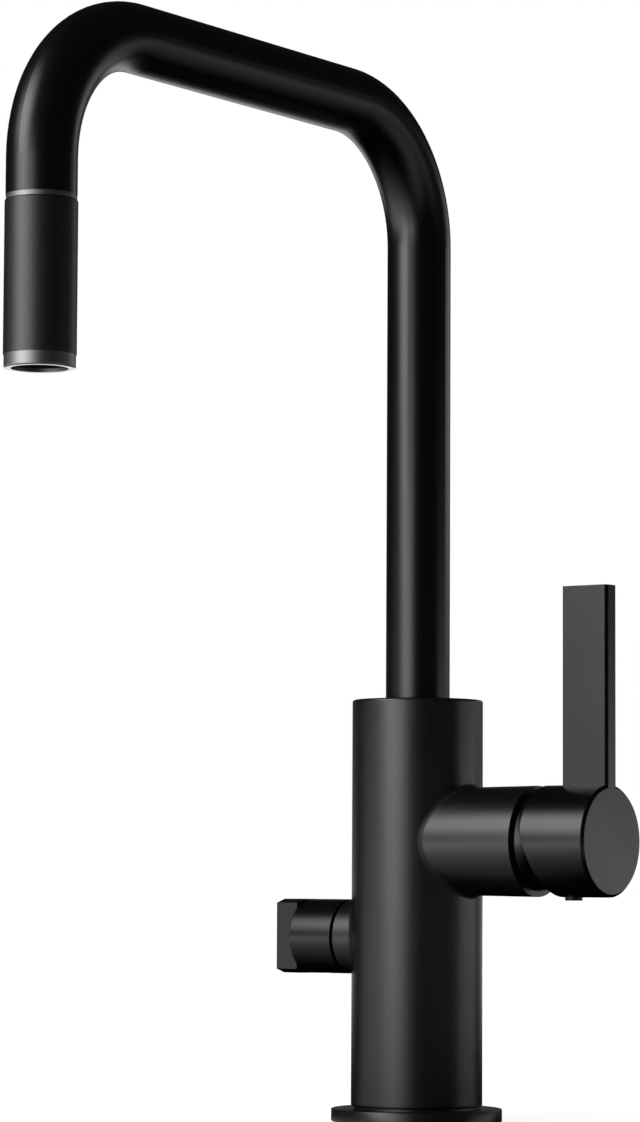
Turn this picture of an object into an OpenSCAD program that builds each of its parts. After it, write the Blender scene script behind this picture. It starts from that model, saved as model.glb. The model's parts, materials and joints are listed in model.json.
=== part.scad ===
// Kitchen mixer tap: side lever, high swivel spout with a pull-out head, and a shut-off valve.
// Millimetres. +Z is up, z = 0 is the worktop, and the origin is on the column's axis.
// The spout reaches along -Y, the lever's arm along +X and the shut-off valve along -X.

/* [Column and flange] */
// Diameter of the column
column_d = 50; // [48:0.5:56]
// Height of the column's top above the worktop
column_h = 160; // [154:1:200]
// Wall of the column round its lower cavity
column_wall = 4; // [3:0.5:5]
// Diameter of the base flange
flange_d = 65; // [60:1:80]
// Thickness of the base flange
flange_t = 4.8; // [4:0.2:7]
// Height of the shadow gap between flange and column
shadow_gap = 0.8; // [0.5:0.1:1.5]
// Rounding of the outer edges
edge_r = 1; // [0.4:0.1:1.2]

/* [Worktop fixing] */
// Thread diameter of the fixing shank
shank_d = 33; // [31:0.5:34]
// Wall of the shank under its thread
shank_wall = 1.9; // [1.6:0.1:2.2]
// Length of the shank below the worktop's top
shank_l = 70; // [60:1:90]
// Thickness of the worktop that the clamp is set for
worktop_t = 30; // [10:1:32]
// Outer diameter of the clamp's washers
clamp_d = 52; // [50:1:60]
// Height of the block that holds the hose ports
port_block_t = 14; // [12:0.5:16]
// Drill diameter of the M8 hose ports
port_d = 7; // [6:0.2:7.4]

/* [Spout] */
// Outer diameter of the spout's pipe
spout_d = 24.5; // [24:0.1:25]
// Wall of the spout's pipe
spout_wall = 1.2; // [0.8:0.1:1.5]
// Height of the spout's level run, at its axis
spout_h = 385; // [340:1:420]
// Reach from the column's axis to the outlet's axis
spout_reach = 228; // [200:1:250]
// Radius of the spout's bends, at its axis
bend_r = 50; // [44:1:56]
// Drop from the level run's axis to the pipe's end
spout_drop = 63; // [61:1:80]
// Depth of the spout's socket in the column
socket_l = 44; // [40:1:46]
// Swing of the spout to each side, in degrees
spout_swing = 60; // [30:5:75]

/* [Pull-out head] */
// Diameter of the head's shell
head_d = 25; // [24.6:0.1:26]
// Wall of the head's shell
head_wall = 1.4; // [1:0.1:1.6]
// Length of the head's shell
head_l = 52.7; // [48:1:90]
// Diameter of the steel ring round the outlet
outlet_ring_d = 24.5; // [24:0.1:25]
// Height of the steel ring round the outlet
outlet_ring_h = 4.7; // [4:0.1:7]
// Diameter of the aerator
aerator_d = 19.6; // [18.4:0.2:20]
// Height of the steel ring at the dock
dock_ring_h = 1.65; // [1:0.05:3]
// Diameter of the head's spigot in the dock
spigot_d = 19; // [18:0.2:19.2]
// Diameter of the pull-out hose
hose_d = 12; // [11:0.5:12.5]

/* [Lever side] */
// Height of the lever arm's axis above the worktop
arm_h = 106; // [102:1:112]
// Diameter of the arm at its end, and of the lever's cap
arm_d = 41.6; // [41:0.2:44]
// Diameter that the arm's taper has at the column's axis
arm_root_d = 40.2; // [39:0.2:42]
// Length of the arm from the column's axis
arm_l = 54.6; // [52:0.2:64]
// Gap between the arm's end and the cap
cap_gap = 4.6; // [4:0.1:5.2]
// Length of the cap
cap_l = 27.7; // [26.5:0.1:34]
// Wall of the cap
cap_wall = 1.7; // [1.4:0.1:2]
// Slope of the cap's relief at its lower rear edge, in degrees
bevel_angle = 15; // [12:1:20]
// Width of the lever's blade, along the arm
lever_w = 19.2; // [14:0.2:22]
// Thickness of the lever's blade
lever_t = 7.2; // [6:0.2:10]
// Height of the lever's tip above the arm's axis
lever_h = 95; // [70:1:130]
// Chamfer round the handle's outer face
handle_chamfer = 1.05; // [0.6:0.05:1.5]
// Tilt that opens the water, in degrees
lever_tilt = 25; // [15:1:25]

/* [Cartridge] */
// Diameter of the cartridge's housing
cart_d = 34.9; // [34.5:0.1:35.1]
// Depth of the cartridge's seat behind the arm's end
seat_depth = 28.6; // [28.2:0.1:29.2]
// Diameter of the cartridge's ceramic discs
disc_d = 31; // [29:0.5:31.4]
// Width across the flats of the square stem
stem_w = 9; // [8:0.1:9.2]
// Diameter of the stem's pivot pin
pivot_d = 4; // [3:0.1:4.4]

/* [Shut-off valve] */
// Height of the valve's axis above the worktop
valve_h = 69.5; // [66.5:0.5:70.5]
// Diameter of the knob and of the boss behind it
knob_d = 28.6; // [27.6:0.2:31]
// Length of the boss beyond the column's side
boss_l = 4.6; // [3:0.1:8]
// Gap between boss and knob
knob_gap = 1.5; // [0.8:0.1:2]
// Length of the knob's round part
knob_l = 18.7; // [17:0.1:24]
// Length of the knob's flat grip
grip_l = 9.6; // [6:0.2:16]
// Thickness of the knob's flat grip
grip_t = 19; // [12:0.5:22]
// Diameter of the valve's spindle
spindle_d = 8; // [7.2:0.2:8.6]

/* [Hidden] */
$fn = 96;

// Radial gap of a piece that turns or slides in a bore
run_gap = 0.05;
// Gap of a piece that is set into another and stays there
set_gap = 0.1;
// Overlap of a cutting tool past the face that it cuts
cut = 1;

column_r = column_d / 2;
cavity_r = column_r - column_wall;
skirt_z = flange_t + shadow_gap;
skirt_recess = 1.2;

shank_r = shank_d / 2;
shank_bore_r = shank_r - shank_wall;
shank_grip = 8.2;
foot_ring_t = 9.2;
// The column's foot ends just below the shut-off valve's boss
foot_h = valve_h - knob_d / 2 - 1.2;
thread_chamfer = 1;
// Plain shoulder that the flange rests on, and which centres the shank in the worktop's hole
root_r = shank_r + 0.7;
root_l = 6;
root_top = 0.5;
root_step = 0.2;

gasket_t = 1.8;
gasket_in_r = shank_r + 3.5;
gasket_w = 8;

clamp_hole_r = shank_r + 1.2;
clamp_gasket_t = 3;
clamp_plate_t = 2.5;
clamp_lift = 5.5;
clamp_nut_t = 8;
clamp_nut_r = clamp_d / 2 - 1;
clamp_screw_r = 2.5;
clamp_screw_l = 20;
clamp_screws_n = 3;
clamp_screw_ring_r = (shank_r + clamp_nut_r) / 2;

port_r = port_d / 2;
port_ring_r = shank_bore_r - port_r - 1.2;
port_h = foot_h - port_block_t;
valve_bore_r = 9.5;
// The hot, cold, mixed and dishwasher ports go round the front half, clear of the hose
port_angles = [-15, -165, -116, -64];

hose_r = hose_d / 2;
hose_bore_r = hose_r + 0.8;
hose_off = shank_bore_r - hose_r - 1;
hose_foot_z = -60;

spout_r = spout_d / 2;
spout_in_r = spout_r - spout_wall;
socket_z = column_h - socket_l;
socket_r = spout_r + 3.15;
bush_floor = 2;
bush_l = 8;
top_ring_t = 3;
top_ring_r = socket_r + 2.1;
pipe_foot_z = socket_z + bush_floor + set_gap;
collar_z = socket_z + bush_l + 4;
collar_l = 8;
collar_r = socket_r - 0.5;
stop_screw_r = 2.5;
stop_screw_z = collar_z + collar_l / 2;
stop_tip_r = spout_r + 1;
stop_depth = 2;
hose_joint_z = socket_z + 1;
// The hose's route inside the shank and the column, up to the spout's foot
hose_foot_route = [
    [0, hose_off, hose_foot_z],
    [0, hose_off, foot_h - 12],
    [0, hose_off - 0.3, foot_h],
    [0, hose_off / 2, (foot_h + socket_z) / 2],
    [0, 0.3, socket_z - 6],
    [0, 0, hose_joint_z]
];

bend_z = spout_h - bend_r;
pipe_end_z = spout_h - spout_drop;
head_top_z = pipe_end_z - dock_ring_h - set_gap;
head_end_z = head_top_z - head_l;
outlet_z = head_end_z - outlet_ring_h;
head_r = head_d / 2;
head_in_r = head_r - head_wall;
head_cap_t = 2.3;
spigot_r = spigot_d / 2;
spigot_l = 12.7;
spigot_top_z = head_top_z + spigot_l;
sleeve_top_z = pipe_end_z + 12.9;
outlet_ring_r = outlet_ring_d / 2;
ring_spigot_l = 5.9;
waterway_z = head_end_z + ring_spigot_l;
aerator_r = aerator_d / 2;
aerator_recess = 1.3;
aerator_seal_t = 1.5;
aerator_pitch = 2.5;
aerator_hole = 1.7;
waterway_bore_r = 5;
nipple_r = 4.5;
nipple_l = 8;
washer_t = 1.5;
hose_nut_r = 7;
hose_nut_l = 4;
tail_l = 8;
tail_z = spigot_top_z + hose_nut_l;
tail_top_z = tail_z + tail_l;
hose_bend_r = spout_h - tail_top_z;

arm_r = arm_d / 2;
arm_thread_r = arm_r - 2.15;
seat_x = arm_l - seat_depth;
cart_r = cart_d / 2;
cart_shoulder_x = seat_x + 22;
cart_end_x = seat_x + 30;
collar_out_r = 13;
rotor_r = 11.9;
chamber_r = 15.9;
chamber_x = seat_x + 18.5;
base_t = 3.5;
peg_r = 1.9;
peg_l = 3;
inlet_r = 3.2;
// Each inlet's place on the seat, across the arm and up
inlets = [[6.5, 4], [-6.5, 4], [0, -8]];
disc_t = 3.5;
moving_disc_t = 4;
moving_disc_r = 11;
carrier_t = 3;
carrier_boss_r = 4.5;
pivot_x = seat_x + 26;
pivot_r = pivot_d / 2;
ball_r = 2.5;
ball_arm = 10;
ball_x = pivot_x - ball_arm;
stem_neck_r = 2;
stem_half = stem_w / 2;
stem_root = 5;
stem_l = 28;
rotor_end_x = pivot_x + 5;
rotor_flange_x = ball_x - 0.5;
fixed_disc_x = seat_x + base_t;
moving_disc_x = fixed_disc_x + disc_t;
carrier_x = moving_disc_x + moving_disc_t;
carrier_end_x = ball_x + 1;
disc_travel = ball_arm * sin(lever_tilt);
nut_x = cart_shoulder_x + run_gap;
nut_t = 4.7;

cap_r = arm_r;
cap_bore_r = cap_r - cap_wall;
dome_r = cap_bore_r - 0.3;
dome_in_r = 13.2;
dome_neck_r = dome_r - 1.5;
dome_x = arm_l + 1.15;
dome_end_x = pivot_x + 7.5;
cap_x = arm_l + cap_gap;
cap_end_x = cap_x + cap_l;
cap_end_wall = 4;
bevel_z = 4.4;
hub_r = 7.5;
hub_x = pivot_x + 12;
screw_x = pivot_x + 18.3;
grub_r = 2;
grub_l = 6;
grub_boss_r = 3.4;
plug_r = 3.25;
plug_proud = 1.2;
plug_l = 6;
plug_boss_r = 4.8;
plug_step = 15;

knob_r = knob_d / 2;
boss_end = column_r + boss_l;
valve_in = boss_end - 14.6;
valve_mouth_r = valve_bore_r - 4;
valve_mouth_l = 1.5;
valve_flange = boss_end - 1;
valve_neck_r = 7;
valve_neck_end = boss_end + 3.4;
valve_chamber_r = 8.2;
valve_seal_t = 1.5;
valve_disc_t = 2.5;
spindle_r = spindle_d / 2;
spindle_foot_r = 6;
spindle_foot_t = 1.1;
spindle_square = 6;
knob_start = boss_end + knob_gap;
grip_start = knob_start + knob_l;
knob_cavity_r = 9.8;
knob_floor = knob_start + 4.9;
spindle_end = knob_floor + 10;
knob_screw = knob_floor + 5;
grip_bevel_w = 5;
grip_bevel_h = 1.55;
valve_fixed_u = valve_in + valve_seal_t;
valve_moving_u = valve_fixed_u + valve_disc_t;
spindle_foot_u = valve_moving_u + valve_disc_t;
spindle_shaft_u = spindle_foot_u + spindle_foot_t;

// Points local +Z along the arm, from x on the arm's axis
module on_arm(x) {
    translate([x, 0, arm_h]) rotate([0, 90, 0]) children();
}

// Points local +Z outwards along the shut-off valve, u from the column's axis
module on_valve(u) {
    translate([-u, 0, valve_h]) rotate([0, -90, 0]) children();
}

// Places children on the outlet's axis at height z
module on_outlet(z) {
    translate([0, -spout_reach, z]) children();
}

// Lays a flat XY shape in the upright plane of the spout
module in_spout_plane() {
    rotate([90, 0, 90]) children();
}

module ring(outer, inner, height) {
    difference() {
        cylinder(h = height, r = outer);
        translate([0, 0, -cut]) cylinder(h = height + 2 * cut, r = inner);
    }
}

// Half of a post's section, with rounded edges at its foot and its top
module post_section(r, height, foot_edge, top_edge) {
    union() {
        translate([0, foot_edge]) square([r, height - foot_edge - top_edge]);
        square([r - foot_edge, height / 2]);
        translate([0, height / 2]) square([r - top_edge, height / 2]);
        if (foot_edge > 0) translate([r - foot_edge, foot_edge]) circle(r = foot_edge, $fn = 48);
        if (top_edge > 0) translate([r - top_edge, height - top_edge]) circle(r = top_edge, $fn = 48);
    }
}

module post(r, height, foot_edge, top_edge) {
    rotate_extrude() intersection() {
        post_section(r, height, foot_edge, top_edge);
        square([r + cut, height]);
    }
}

// One ring of a swept tube: sides points round the centre, square to the heading in the plane x = 0
function tube_ring(centre, heading, r, sides) = [
    for (k = [0 : sides - 1])
        let (a = 360 * k / sides)
            centre + r * [cos(a), sin(a) * heading[2], -sin(a) * heading[1]]
];

// The heading at point i of a route: along z at both ends, and the mean of its two runs between them
function route_heading(route, i) =
    i == 0 || i == len(route) - 1
        ? [0, 0, 1]
        : let (span = route[i + 1] - route[i - 1]) span / norm(span);

// A closed tube along a route that lies in the plane x = 0 and climbs
module tube(route, r, sides) {
    rings = len(route);
    points = [
        for (i = [0 : rings - 1])
            each tube_ring(route[i], route_heading(route, i), r, sides)
    ];
    walls = [
        for (i = [0 : rings - 2])
            for (k = [0 : sides - 1])
                [i * sides + k, (i + 1) * sides + k,
                    (i + 1) * sides + (k + 1) % sides, i * sides + (k + 1) % sides]
    ];
    foot = [[for (k = [0 : sides - 1]) k]];
    top = [[for (k = [sides - 1 : -1 : 0]) (rings - 1) * sides + k]];
    polyhedron(points = points, faces = concat(walls, foot, top));
}

// Solid run of the spout: up, over the first bend, level, and down the second bend
module spout_run(r, foot_z, end_z, turn_r) {
    end_y = -spout_reach;
    translate([0, 0, foot_z]) cylinder(h = bend_z - foot_z, r = r);
    translate([0, -bend_r, bend_z]) in_spout_plane()
        rotate_extrude(angle = 90) translate([bend_r, 0]) circle(r = r);
    translate([0, -bend_r, spout_h]) rotate([90, 0, 0])
        cylinder(h = spout_reach - turn_r - bend_r, r = r);
    translate([0, end_y + turn_r, spout_h - turn_r]) in_spout_plane()
        rotate([0, 0, 90]) rotate_extrude(angle = 90) translate([turn_r, 0]) circle(r = r);
    if (end_z < spout_h - turn_r)
        on_outlet(end_z) cylinder(h = spout_h - turn_r - end_z, r = r);
}

module base_flange() {
    color("#26272a") difference() {
        post(flange_d / 2, flange_t, 0, edge_r * 0.8);
        translate([0, 0, -cut]) cylinder(h = flange_t + 2 * cut, r = shank_r + run_gap);
        translate([0, 0, -cut]) cylinder(h = root_top + cut, r = root_r + run_gap);
        translate([0, 0, -cut])
            ring(gasket_in_r + gasket_w + set_gap, gasket_in_r - set_gap, gasket_t + cut);
    }
}

module deck_gasket() {
    color("#1c1c1c") ring(gasket_in_r + gasket_w, gasket_in_r, gasket_t);
}

// The slanting channel that the hose climbs through the column
module hose_channel() {
    rise = socket_z - foot_h;
    translate([0, hose_off, foot_h]) rotate([atan(hose_off / rise), 0, 0]) translate([0, 0, -3])
        cylinder(h = norm([hose_off, rise]) + 6, r = hose_bore_r);
}

// The column's lower tube, which the hoses reach into. Its seam with the body is turned flush
module column_foot() {
    color("#26272a") difference() {
        union() {
            translate([0, 0, flange_t])
                cylinder(h = shadow_gap + edge_r, r = column_r - skirt_recess);
            translate([0, 0, skirt_z]) post(column_r, foot_h - skirt_z, edge_r, 0);
        }
        translate([0, 0, flange_t - cut]) cylinder(h = foot_h - flange_t + 2 * cut, r = cavity_r);
    }
}

// The ring that holds the shank in the column's foot
module foot_ring() {
    color("#b8964a") translate([0, 0, flange_t])
        ring(cavity_r - run_gap, shank_r + run_gap, foot_ring_t);
}

module column_outside() {
    translate([0, 0, foot_h]) post(column_r, column_h - foot_h, 0, edge_r);
    on_arm(0) cylinder(h = arm_l, r1 = arm_root_d / 2, r2 = arm_r);
    on_valve(0) cylinder(h = boss_end, r = knob_r);
}

module column_bores() {
    hose_channel();
    translate([0, 0, socket_z]) cylinder(h = socket_l + cut, r = socket_r);
    translate([0, 0, column_h - top_ring_t]) cylinder(h = top_ring_t + cut, r = top_ring_r);
    translate([0, 0, stop_screw_z]) rotate([-90, 0, 0]) cylinder(h = column_r + cut, r = stop_screw_r);
    on_arm(seat_x) cylinder(h = arm_l, r = cart_r + set_gap);
    on_arm(cart_shoulder_x - 1.5) cylinder(h = arm_l, r = arm_thread_r);
    for (side = [-1, 1])
        on_arm(seat_x - peg_l - 0.5) translate([0, side * 12, 0])
            cylinder(h = peg_l + cut, r = peg_r + set_gap);
    for (p = inlets)
        on_arm(seat_x - 8) translate([-p[1], p[0], 0]) cylinder(h = 8 + cut, r = inlet_r);
    on_valve(valve_in) cylinder(h = boss_end, r = valve_bore_r + run_gap);
    on_valve(valve_in - valve_mouth_l) cylinder(h = valve_mouth_l + cut, r = valve_mouth_r);
}

module column_body() {
    color("#26272a") difference() {
        column_outside();
        column_bores();
    }
}

// The brass block that the hoses screw into. The pull-out hose climbs past them
module port_block() {
    color("#b8964a") translate([0, 0, port_h]) difference() {
        cylinder(h = port_block_t, r = cavity_r - run_gap);
        for (a = port_angles)
            rotate([0, 0, a]) translate([port_ring_r, 0, -cut])
                cylinder(h = port_block_t + 2 * cut, r = port_r);
        translate([0, hose_off, -cut]) cylinder(h = port_block_t + 2 * cut, r = hose_bore_r);
    }
}

module top_ring() {
    color("#232427") translate([0, 0, column_h - top_ring_t])
        ring(top_ring_r - run_gap, spout_r + 0.2, top_ring_t);
}

// The shank, with its plain shoulder and the chamfered end of its thread
module threaded_shank() {
    color("#b8964a") rotate_extrude() polygon([
        [shank_bore_r, -shank_l],
        [shank_r - thread_chamfer, -shank_l],
        [shank_r, -shank_l + thread_chamfer],
        [shank_r, -root_l],
        [root_r, -root_l],
        [root_r, 0],
        [root_r - root_step, 0],
        [root_r - root_step, root_top],
        [shank_r, root_top],
        [shank_r, flange_t + shank_grip],
        [shank_bore_r, flange_t + shank_grip]
    ]);
}

module spout_bush_upper() {
    color("#d8d8d2") translate([0, 0, column_h - top_ring_t - bush_l])
        ring(socket_r - run_gap, spout_r + run_gap, bush_l);
}

module spout_bush_lower() {
    color("#d8d8d2") translate([0, 0, socket_z]) difference() {
        cylinder(h = bush_l, r = socket_r - run_gap);
        translate([0, 0, bush_floor]) cylinder(h = bush_l, r = spout_r + run_gap);
        translate([0, 0, -cut]) cylinder(h = bush_l, r = spout_in_r - 1.5);
    }
}

module swing_stop_screw() {
    color("#8d9094") translate([0, 0, stop_screw_z]) rotate([-90, 0, 0]) difference() {
        translate([0, 0, stop_tip_r]) cylinder(h = column_r - stop_depth - stop_tip_r, r = stop_screw_r);
        translate([0, 0, column_r - stop_depth - 2.5]) cylinder(h = 2.5 + cut, r = 1.4, $fn = 6);
    }
}

module hose_foot() {
    color("#3a3b3d") tube(hose_foot_route, hose_r, 12);
}

module cartridge_housing() {
    color("#e9e6dc") on_arm(0) difference() {
        union() {
            translate([0, 0, seat_x]) cylinder(h = cart_shoulder_x - seat_x, r = cart_r);
            translate([0, 0, seat_x]) cylinder(h = cart_end_x - seat_x, r = collar_out_r);
        }
        translate([0, 0, seat_x - cut]) cylinder(h = chamber_x - seat_x + cut, r = chamber_r);
        translate([0, 0, seat_x]) cylinder(h = arm_l, r = rotor_r + run_gap);
    }
}

module cartridge_base() {
    color("#2f6db0") on_arm(seat_x) difference() {
        union() {
            cylinder(h = base_t, r = chamber_r - run_gap);
            for (side = [-1, 1])
                translate([0, side * 12, -peg_l]) cylinder(h = peg_l + cut, r = peg_r);
        }
        for (p = inlets) {
            translate([-p[1], p[0], -cut]) cylinder(h = base_t + 2 * cut, r = inlet_r - 0.6);
            translate([-p[1], p[0], -cut]) cylinder(h = cut + 1.2, r = inlet_r + 0.8);
        }
    }
}

module cartridge_seals() {
    color("#1c1c1c") on_arm(seat_x) for (p = inlets)
        translate([-p[1], p[0], 0]) ring(inlet_r + 0.8 - run_gap, inlet_r - 0.6, 1.2);
}

module fixed_disc() {
    color("#f2f0ea") on_arm(fixed_disc_x) difference() {
        cylinder(h = disc_t, r = disc_d / 2);
        for (p = inlets)
            translate([-p[1], p[0], -cut]) cylinder(h = disc_t + 2 * cut, r = inlet_r - 0.6);
    }
}

module cartridge_nut() {
    color("#b8964a") on_arm(nut_x) difference() {
        ring(arm_thread_r - run_gap, collar_out_r + run_gap, nut_t);
        for (a = [0 : 90 : 270])
            rotate([0, 0, a]) translate([collar_out_r - cut, -1.5, nut_t - 1.5])
                cube([arm_r, 3, 1.5 + cut]);
    }
}

// The domed ring that closes the arm; its centre is the lever's pivot, so the cap clears it at any tilt
module dome_ring() {
    spigot_x = nut_x + nut_t + set_gap;
    color("#202124") on_arm(pivot_x) rotate_extrude() union() {
        translate([dome_in_r, spigot_x - pivot_x])
            square([arm_thread_r - run_gap - dome_in_r, arm_l - spigot_x]);
        translate([dome_in_r, spigot_x - pivot_x]) square([dome_neck_r - dome_in_r, dome_x - spigot_x + cut]);
        intersection() {
            circle(r = dome_r, $fn = 180);
            translate([dome_in_r, dome_x - pivot_x]) square([dome_r, dome_end_x - dome_x]);
        }
    }
}

module valve_housing() {
    color("#b8964a") on_valve(0) difference() {
        union() {
            translate([0, 0, valve_in]) cylinder(h = valve_flange - valve_in, r = valve_bore_r);
            translate([0, 0, valve_in]) cylinder(h = valve_neck_end - valve_in, r = valve_neck_r);
        }
        translate([0, 0, valve_in - cut])
            cylinder(h = spindle_shaft_u + run_gap - valve_in + cut, r = valve_chamber_r);
        translate([0, 0, valve_in]) cylinder(h = boss_end, r = spindle_r + run_gap);
    }
}

module valve_seal() {
    color("#1c1c1c") on_valve(valve_in) ring(valve_chamber_r - run_gap, 5, valve_seal_t);
}

// Half-moon port of the valve's two discs
module valve_port() {
    intersection() {
        translate([0, 0, -cut]) ring(5, 2, valve_disc_t + 2 * cut);
        translate([-6, 0.6, -cut]) cube([12, 6, valve_disc_t + 2 * cut]);
    }
}

module valve_fixed_disc() {
    color("#f2f0ea") on_valve(valve_fixed_u) difference() {
        cylinder(h = valve_disc_t, r = valve_chamber_r - run_gap);
        valve_port();
    }
}

module valve_moving_disc() {
    color("#f2f0ea") on_valve(valve_moving_u) difference() {
        cylinder(h = valve_disc_t, r = valve_chamber_r - 0.3);
        mirror([0, 1, 0]) valve_port();
    }
}

module valve_spindle() {
    color("#b8964a") on_valve(0) union() {
        translate([0, 0, spindle_foot_u]) cylinder(h = spindle_foot_t, r = spindle_foot_r);
        translate([0, 0, spindle_foot_u]) cylinder(h = knob_floor - spindle_foot_u, r = spindle_r);
        translate([-spindle_square / 2, -spindle_square / 2, knob_floor - cut])
            cube([spindle_square, spindle_square, spindle_end - knob_floor + cut]);
    }
}

// The grip's section: flat cheeks front and back, with bevelled corners
module grip_section() {
    half = grip_t / 2;
    cheek = knob_r - grip_bevel_h;
    polygon([
        [knob_r, half - grip_bevel_w], [cheek, half], [-cheek, half], [-knob_r, half - grip_bevel_w],
        [-knob_r, grip_bevel_w - half], [-cheek, -half], [cheek, -half], [knob_r, grip_bevel_w - half]
    ]);
}

module shutoff_knob() {
    socket = spindle_square / 2 + run_gap;
    color("#26272a") on_valve(0) difference() {
        union() {
            translate([0, 0, knob_start]) cylinder(h = knob_l, r = knob_r);
            translate([0, 0, grip_start]) linear_extrude(height = grip_l) grip_section();
        }
        translate([0, 0, knob_start - cut]) cylinder(h = knob_floor - knob_start + cut, r = knob_cavity_r);
        translate([-socket, -socket, knob_floor - cut])
            cube([2 * socket, 2 * socket, spindle_end - knob_floor + cut + set_gap]);
        translate([0, 0, knob_screw]) rotate([0, -90, 0]) cylinder(h = knob_r + cut, r = grub_r + run_gap);
    }
}

// A grub screw along local +Z, with its hexagon socket at the far end
module grub_screw(length) {
    difference() {
        cylinder(h = length, r = grub_r);
        translate([0, 0, length - 2.5]) cylinder(h = 2.5 + cut, r = 1.1, $fn = 6);
    }
}

module knob_grub_screw() {
    color("#8d9094") on_valve(knob_screw) rotate([0, -90, 0])
        translate([0, 0, spindle_square / 2]) grub_screw(grub_l);
}

module spout_pipe() {
    color("#26272a") difference() {
        spout_run(spout_r, pipe_foot_z, pipe_end_z, bend_r);
        spout_run(spout_in_r, pipe_foot_z - cut, pipe_end_z - cut, bend_r);
    }
}

// The ring on the pipe's foot, whose slot meets the stop screw at both ends of the swing
module swing_collar() {
    slack = asin((stop_screw_r + 0.2) / collar_r);
    sweep = spout_swing + slack;
    color("#b8964a") translate([0, 0, collar_z]) difference() {
        ring(collar_r, spout_r, collar_l);
        translate([0, 0, collar_l / 2 - stop_screw_r - 0.2]) rotate([0, 0, 90 - sweep])
            rotate_extrude(angle = 2 * sweep) translate([spout_r + 0.7, 0])
                square([socket_r, 2 * stop_screw_r + 0.4]);
    }
}

module dock_ring() {
    color("#c9cacc") on_outlet(pipe_end_z - dock_ring_h)
        ring(spout_r - 0.15, spigot_r + 0.2, dock_ring_h);
}

module dock_sleeve() {
    color("#2a2b2d") on_outlet(pipe_end_z)
        ring(spout_in_r - run_gap, spigot_r + 0.2, sleeve_top_z - pipe_end_z);
}

// The hose's run inside the spout
module hose_riser() {
    color("#3a3b3d") spout_run(hose_r, hose_joint_z, tail_top_z, hose_bend_r);
}

module hose_tail() {
    color("#3a3b3d") on_outlet(tail_z) cylinder(h = tail_l, r = hose_r);
}

module hose_nut() {
    color("#b8964a") on_outlet(spigot_top_z) difference() {
        union() {
            cylinder(h = hose_nut_l, r = hose_nut_r);
            translate([0, 0, -nipple_l]) cylinder(h = nipple_l + cut, r = nipple_r);
        }
        translate([0, 0, -nipple_l - cut]) cylinder(h = nipple_l + hose_nut_l, r = 3);
    }
}

module hose_washer() {
    color("#1c1c1c") on_outlet(spigot_top_z - nipple_l - washer_t) ring(nipple_r, 3, washer_t);
}

module head_shell() {
    color("#26272a") on_outlet(head_end_z) difference() {
        post(head_r, head_l, 0, edge_r * 0.5);
        translate([0, 0, -cut]) cylinder(h = head_l - head_cap_t + cut, r = head_in_r);
        translate([0, 0, -cut]) cylinder(h = head_l + 2 * cut, r = spigot_r + run_gap);
    }
}

module head_waterway() {
    washer_z = spigot_top_z - nipple_l - washer_t;
    shoulder_z = head_top_z - head_cap_t;
    color("#4a4b4e") on_outlet(0) difference() {
        union() {
            translate([0, 0, waterway_z]) cylinder(h = shoulder_z - waterway_z, r = head_in_r - set_gap);
            translate([0, 0, waterway_z]) cylinder(h = spigot_top_z - waterway_z, r = spigot_r);
        }
        translate([0, 0, waterway_z - cut]) cylinder(h = 12 + cut, r = 8);
        translate([0, 0, waterway_z]) cylinder(h = washer_z - 2 - waterway_z, r = waterway_bore_r);
        translate([0, 0, waterway_z]) cylinder(h = spigot_l + head_l, r = 3);
        translate([0, 0, washer_z]) cylinder(h = washer_t + nipple_l + cut, r = nipple_r + run_gap);
    }
}

module check_valve() {
    color("#e9e6dc") on_outlet(waterway_z + 18) difference() {
        cylinder(h = 9, r = waterway_bore_r - run_gap);
        translate([0, 0, -cut]) cylinder(h = 7 + cut, r = 3.6);
        for (a = [0 : 90 : 270])
            rotate([0, 0, a]) translate([2.2, 0, -cut]) cylinder(h = 9 + 2 * cut, r = 1);
    }
}

module outlet_ring() {
    color("#c9cacc") on_outlet(outlet_z) difference() {
        union() {
            post(outlet_ring_r, outlet_ring_h, edge_r * 0.6, 0);
            cylinder(h = outlet_ring_h + ring_spigot_l, r = head_in_r - run_gap);
        }
        translate([0, 0, -cut])
            cylinder(h = outlet_ring_h + ring_spigot_l + 2 * cut, r = aerator_r + run_gap);
    }
}

// The aerator: a drum with a fine square grid across its outlet
module aerator_insert() {
    drum_l = waterway_z - aerator_seal_t - outlet_z - aerator_recess;
    grid_t = 1.6;
    drum_in_r = aerator_r - 1.2;
    reach = floor((drum_in_r - 1) / aerator_pitch);
    color("#1e1f21") on_outlet(outlet_z + aerator_recess) union() {
        ring(aerator_r, drum_in_r, drum_l);
        linear_extrude(height = grid_t) difference() {
            circle(r = drum_in_r + 0.5);
            for (i = [-reach : reach])
                for (j = [-reach : reach])
                    if (norm([i, j]) * aerator_pitch < drum_in_r - 1.3)
                        translate([i * aerator_pitch, j * aerator_pitch]) square(aerator_hole, center = true);
        }
    }
}

module aerator_seal() {
    color("#1c1c1c") on_outlet(waterway_z - aerator_seal_t) ring(aerator_r - 0.1, 8, aerator_seal_t);
}

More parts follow.
